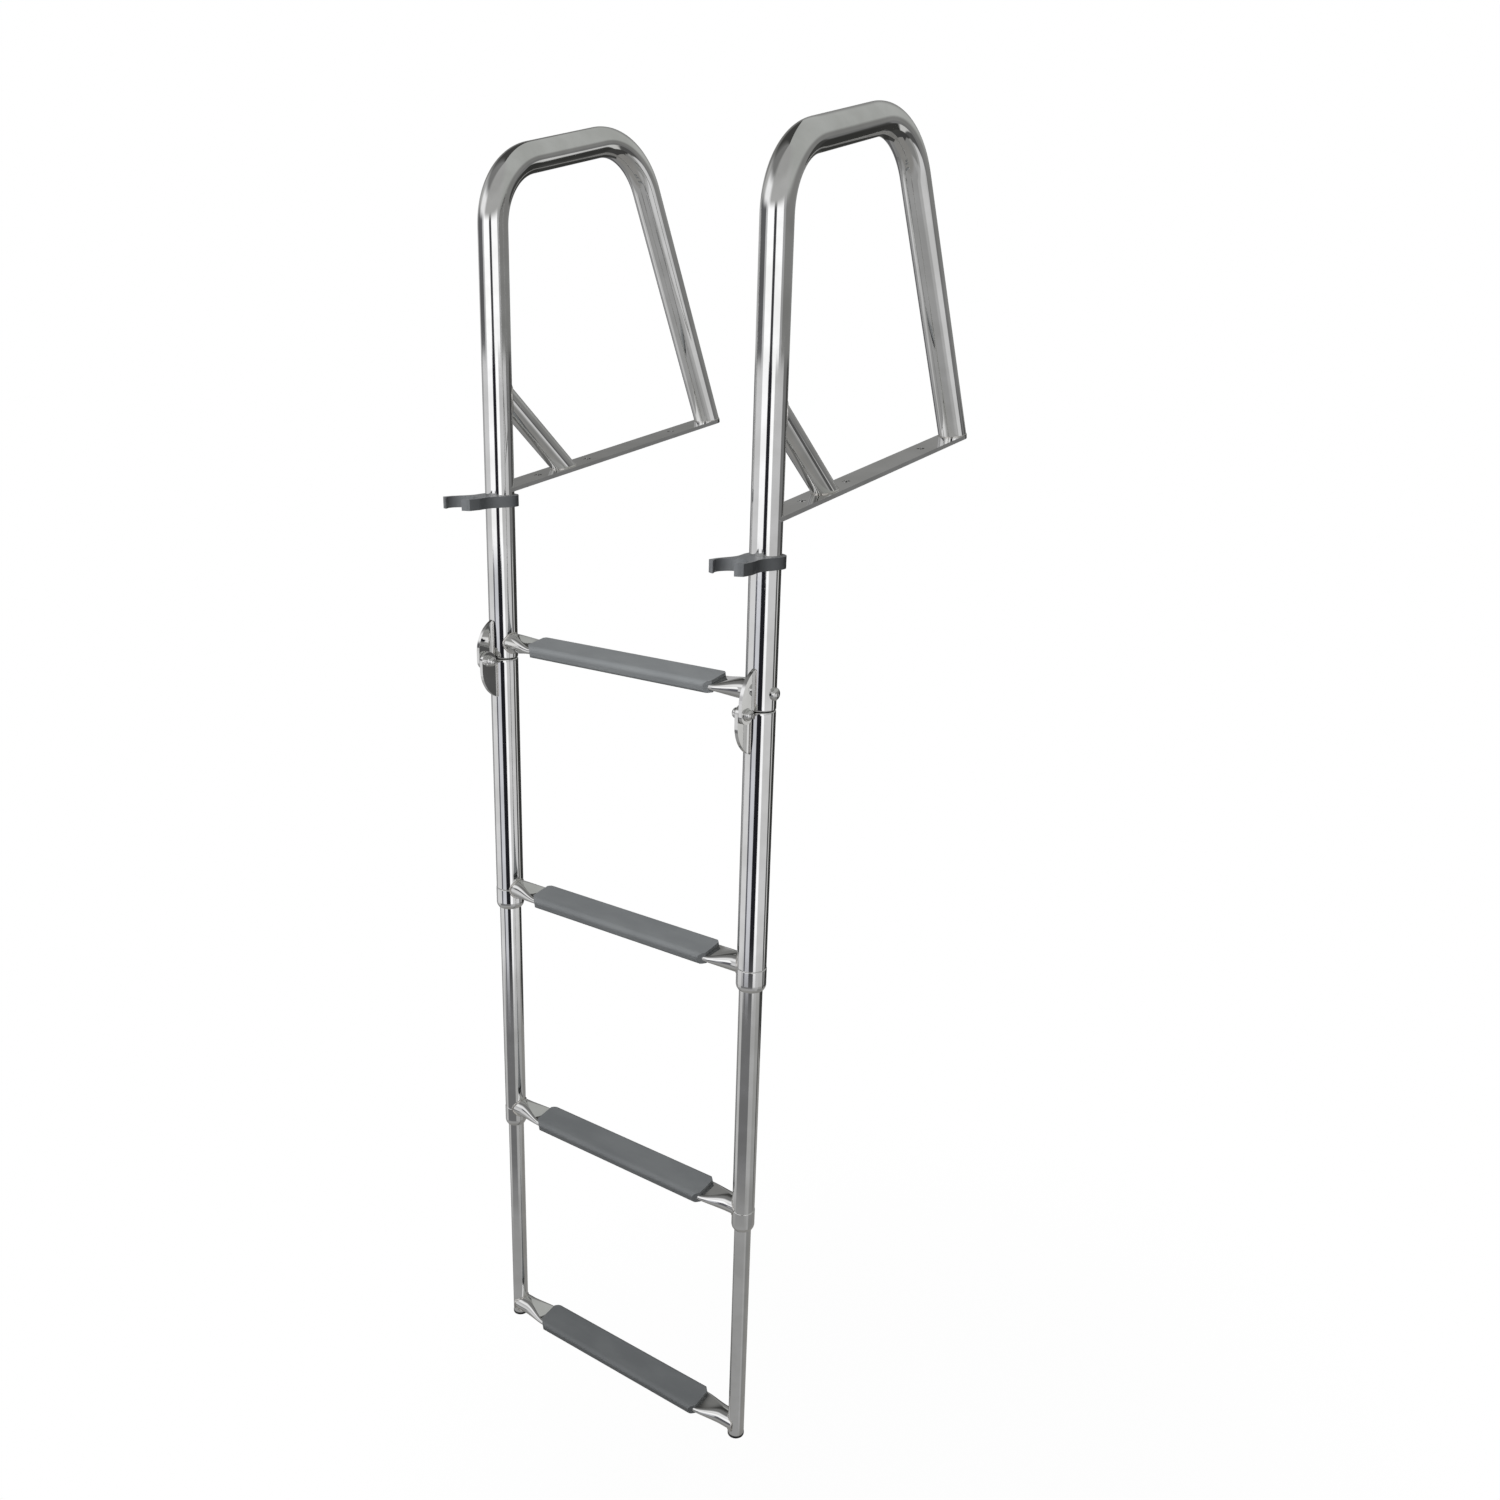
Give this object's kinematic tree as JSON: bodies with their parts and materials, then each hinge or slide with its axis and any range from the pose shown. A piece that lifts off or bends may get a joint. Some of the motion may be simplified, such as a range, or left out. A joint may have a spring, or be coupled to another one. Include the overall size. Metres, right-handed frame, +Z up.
{
  "type": "folding telescopic boarding ladder",
  "caption": "Polished steel boarding ladder with handrail loops on deck strips, a fold hinge and telescoping legs with grey treads.",
  "frame": {"origin": "centre of the left mounting strip's front screw hole, on the strip's flat underside", "axes": "+Z up, square to the two level mounting strips; +Y from the water to the dock, along the strips; +X along the steps from the left leg to the right leg"},
  "size_m": [0.3992, 0.6044, 1.4227],
  "materials": {
    "polished_steel": "mirror-polished stainless steel",
    "tread_plastic": "moulded satin grey plastic",
    "clip_plastic": "moulded blue-grey plastic",
    "guide_plastic": "plain moulded white plastic",
    "plug_rubber": "black moulded rubber"
  },
  "bodies": {
    "fixed_rails": {"left_handrail": "polished_steel", "right_handrail": "polished_steel", "left_mounting_strip": "polished_steel", "right_mounting_strip": "polished_steel", "left_brace": "polished_steel", "right_brace": "polished_steel", "left_storage_clip": "clip_plastic", "right_storage_clip": "clip_plastic", "left_upper_hinge_leaf": "polished_steel", "right_upper_hinge_leaf": "polished_steel", "left_hinge_bolt": "polished_steel", "right_hinge_bolt": "polished_steel", "left_hinge_nut": "polished_steel", "right_hinge_nut": "polished_steel", "left_step_button": "polished_steel", "right_step_button": "polished_steel", "top_step": "polished_steel", "top_step_tread": "tread_plastic"},
    "upper_section": {"left_upper_leg": "polished_steel", "right_upper_leg": "polished_steel", "left_lower_hinge_leaf": "polished_steel", "right_lower_hinge_leaf": "polished_steel", "left_upper_collar": "polished_steel", "right_upper_collar": "polished_steel", "second_step": "polished_steel", "second_step_tread": "tread_plastic"},
    "middle_section": {"left_middle_guide": "guide_plastic", "right_middle_guide": "guide_plastic", "left_middle_leg": "polished_steel", "right_middle_leg": "polished_steel", "left_middle_collar": "polished_steel", "right_middle_collar": "polished_steel", "third_step": "polished_steel", "third_step_tread": "tread_plastic"},
    "bottom_section": {"left_lower_guide": "guide_plastic", "right_lower_guide": "guide_plastic", "left_lower_leg": "polished_steel", "right_lower_leg": "polished_steel", "left_end_plug": "plug_rubber", "right_end_plug": "plug_rubber", "bottom_step": "polished_steel", "bottom_step_tread": "tread_plastic"}
  },
  "joints": [
    {"name": "fold_hinge", "type": "hinge", "parent": "fixed_rails", "child": "upper_section", "pos_m": [0.1785, -0.1217, -0.17733], "axis": [-1, 0, 0], "range_deg": [0, 180]},
    {"name": "middle_slide", "type": "slide", "parent": "upper_section", "child": "middle_section", "axis": [0, 0.1736, 0.9848], "range_m": [0, 0.23]},
    {"name": "bottom_slide", "type": "slide", "parent": "middle_section", "child": "bottom_section", "axis": [0, 0.1736, 0.9848], "range_m": [0, 0.23]}
  ]
}
